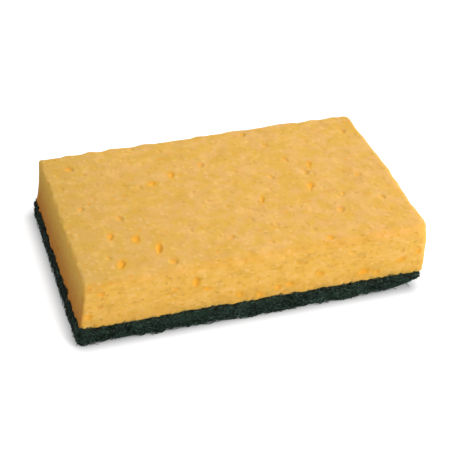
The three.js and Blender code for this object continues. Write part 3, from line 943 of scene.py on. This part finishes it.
# Each fibre turns evenly along its length, and is a running sum of steps the way it heads.
share = np.linspace(-0.5, 0.5, WEB_STEPS)[None]
length = rng.uniform(*WEB_LENGTH, (WEB_FIBRES, 1))
heading = rng.uniform(0, 2 * np.pi, (WEB_FIBRES, 1))
curl = rng.uniform(-WEB_CURL, WEB_CURL, (WEB_FIBRES, 1))
turned = heading + curl * 2 * share
web_x = rng.uniform(PAD_WALLS[0] + WEB_START, PAD_WALLS[1] - WEB_START, (WEB_FIBRES, 1))
web_y = rng.uniform(PAD_WALLS[2] + WEB_START, PAD_WALLS[3] - WEB_START, (WEB_FIBRES, 1))
step = length / (WEB_STEPS - 1)
web_x = web_x + np.cumsum(np.cos(turned), axis=1) * step - np.cos(heading) * length / 2
web_y = web_y + np.cumsum(np.sin(turned), axis=1) * step - np.sin(heading) * length / 2
web_x = np.clip(web_x, PAD_WALLS[0] + WEB_MARGIN, PAD_WALLS[1] - WEB_MARGIN)
web_y = np.clip(web_y, PAD_WALLS[2] + WEB_MARGIN, PAD_WALLS[3] - WEB_MARGIN)
lift = rng.uniform(*WEB_LIFT, (WEB_FIBRES, 1))
ripple = WEB_RIPPLE * np.sin(2 * np.pi * (share + lift * WEB_RIPPLE_PHASE))
web_z = PAD_LOW[2] + lift + ripple
web_z = np.maximum(web_z, PAD_LOW[2] + FIBRE_RADIUS[1])
web_paths = np.stack([web_x, web_y, web_z], axis=-1)
web_radii = rng.uniform(*FIBRE_RADIUS, WEB_FIBRES)
web = fibre_tubes("underside_web", web_paths, web_radii, rng.random(WEB_FIBRES))
web.data.materials.append(nylon.material)
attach(web, "root")


# The table: a matt white sheet, lit so that it is white all round and keeps the shadow. Close
# to the object its glow fades in a box set in from the pad: a painted shadow over the pad's own
# soft one.
FLOOR_REACH = 3.0
FLOOR_WHITE = 0.6
FLOOR_GLOW_BESIDE, FLOOR_GLOW = 0.06, 0.82
SHADOW_REACH = 0.012
SHADOW_INSETS = (0.0050, 0.0034, 0), (0.0070, 0.0050, 0)
SHADOW_LOW = PAD_LOW * (1, 1, 0) + SHADOW_INSETS[0]
SHADOW_HIGH = PAD_HIGH * (1, 1, 0) - SHADOW_INSETS[1]

floor_mesh = bpy.data.meshes.new("white_table")
floor_corners = [
    (x * FLOOR_REACH, y * FLOOR_REACH, 0) for x, y in [(-1, -1), (1, -1), (1, 1), (-1, 1)]
]
floor_mesh.from_pydata(floor_corners, [], [(0, 1, 2, 3)])
floor = bpy.data.objects.new("white_table", floor_mesh)
bpy.context.scene.collection.objects.link(floor)
table = Finish("white_table", Roughness=1.0, Specular_IOR_Level=0.0)
table.shade(Base_Color=(FLOOR_WHITE, FLOOR_WHITE, FLOOR_WHITE, 1), Emission_Strength=1.0)


def measure(operation, *terms):
    """One Vector Math node on the table's places."""
    values = {k: tuple(t) if isinstance(t, np.ndarray) else t for k, t in enumerate(terms)}
    return table.node("ShaderNodeVectorMath", {"operation": operation}, values)


# The distance from the shadow's box: the length of max(|place - middle| - half size, 0).
away = measure("SUBTRACT", table.place(), (SHADOW_LOW + SHADOW_HIGH) / 2)
away = measure("ABSOLUTE", away.outputs[0])
away = measure("SUBTRACT", away.outputs[0], (SHADOW_HIGH - SHADOW_LOW) / 2)
away = measure("MAXIMUM", away.outputs[0], (0, 0, 0))
away = measure("LENGTH", away.outputs[0])
# Past this reach the glow is full; nearer the pad it fades, as a painted shadow.
past_painted_shadow = Value(table, away.outputs["Value"]).between(0, SHADOW_REACH)
rays = table.node("ShaderNodeLightPath")
shown = Value(table, rays.outputs["Is Camera Ray"]) + Value(table, rays.outputs["Is Glossy Ray"])
glow = past_painted_shadow * (FLOOR_GLOW - FLOOR_GLOW_BESIDE) + FLOOR_GLOW_BESIDE
table.shade(Emission_Color=table.mixed(glow * shown, (0, 0, 0, 1), (1, 1, 1, 1)))
floor_mesh.materials.append(table.material)


# The light: one broad soft lamp high at the right front, in a dim white room with a lighter
# ceiling. Seen directly, the room is plain white.
LAMP_FROM = Vector((0.50, -0.66, 0.66))
LAMP_SIZE = 0.6
LAMP_POWER = 8.0
ROOM_EVEN, ROOM_CEILING = 0.295, 0.345

lamp_data = bpy.data.lights.new("soft_lamp", "AREA")
lamp_data.shape = "DISK"
lamp_data.size = LAMP_SIZE
lamp_data.energy = LAMP_POWER
lamp = bpy.data.objects.new("soft_lamp", lamp_data)
lamp.location = LAMP_FROM
lamp.rotation_euler = LAMP_FROM.to_track_quat("Z", "Y").to_euler()
bpy.context.scene.collection.objects.link(lamp)


class Room(Finish):
    """The same way of adding nodes, for the light that comes from all round."""

    def __init__(self, name):
        self.world = bpy.data.worlds.new(name)
        self.world.use_nodes = True
        self.tree = self.world.node_tree
        self.shader = self.tree.nodes["Background"]


room = Room("white_room")
looking = room.node("ShaderNodeTexCoord").outputs["Generated"]
upwards = Value(room, room.node("ShaderNodeSeparateXYZ", None, {0: looking}).outputs["Z"])
overhead = upwards.sum("MAXIMUM", upwards, 0.0)
seen_directly = Value(room, room.node("ShaderNodeLightPath").outputs["Is Camera Ray"])
strength = overhead * ROOM_CEILING + ROOM_EVEN
room.shade(Color=(1, 1, 1, 1), Strength=strength * (1 - seen_directly) + seen_directly)
bpy.context.scene.world = room.world


# The camera: a long lens from above the front left corner, tilted a little clockwise.
CAMERA_AZIMUTH = math.radians(-20.535)
CAMERA_ELEVATION = math.radians(38.136)
CAMERA_ROLL = math.radians(4.131)
CAMERA_DISTANCE = 0.578162
CAMERA_AIM = Vector((0.00677, 0.014029, 0.000035))
CAMERA_LENS, CAMERA_SENSOR, CAMERA_CLIP = 96.969, 36, (0.01, 20)

back = Vector(
    (
        math.sin(CAMERA_AZIMUTH) * math.cos(CAMERA_ELEVATION),
        -math.cos(CAMERA_AZIMUTH) * math.cos(CAMERA_ELEVATION),
        math.sin(CAMERA_ELEVATION),
    )
)
level = Vector((math.cos(CAMERA_AZIMUTH), math.sin(CAMERA_AZIMUTH), 0))
upright = back.cross(level)
right = level * math.cos(CAMERA_ROLL) + upright * math.sin(CAMERA_ROLL)
up = upright * math.cos(CAMERA_ROLL) - level * math.sin(CAMERA_ROLL)
lens = bpy.data.cameras.new("camera")
lens.lens = CAMERA_LENS
lens.sensor_width = CAMERA_SENSOR
lens.clip_start, lens.clip_end = CAMERA_CLIP
camera = bpy.data.objects.new("camera", lens)
turned_to = Matrix((right, up, back)).transposed().to_4x4()
camera.matrix_world = Matrix.Translation(CAMERA_AIM + back * CAMERA_DISTANCE) @ turned_to
bpy.context.scene.collection.objects.link(camera)
bpy.context.scene.camera = camera
bpy.context.scene.view_settings.view_transform = "Standard"
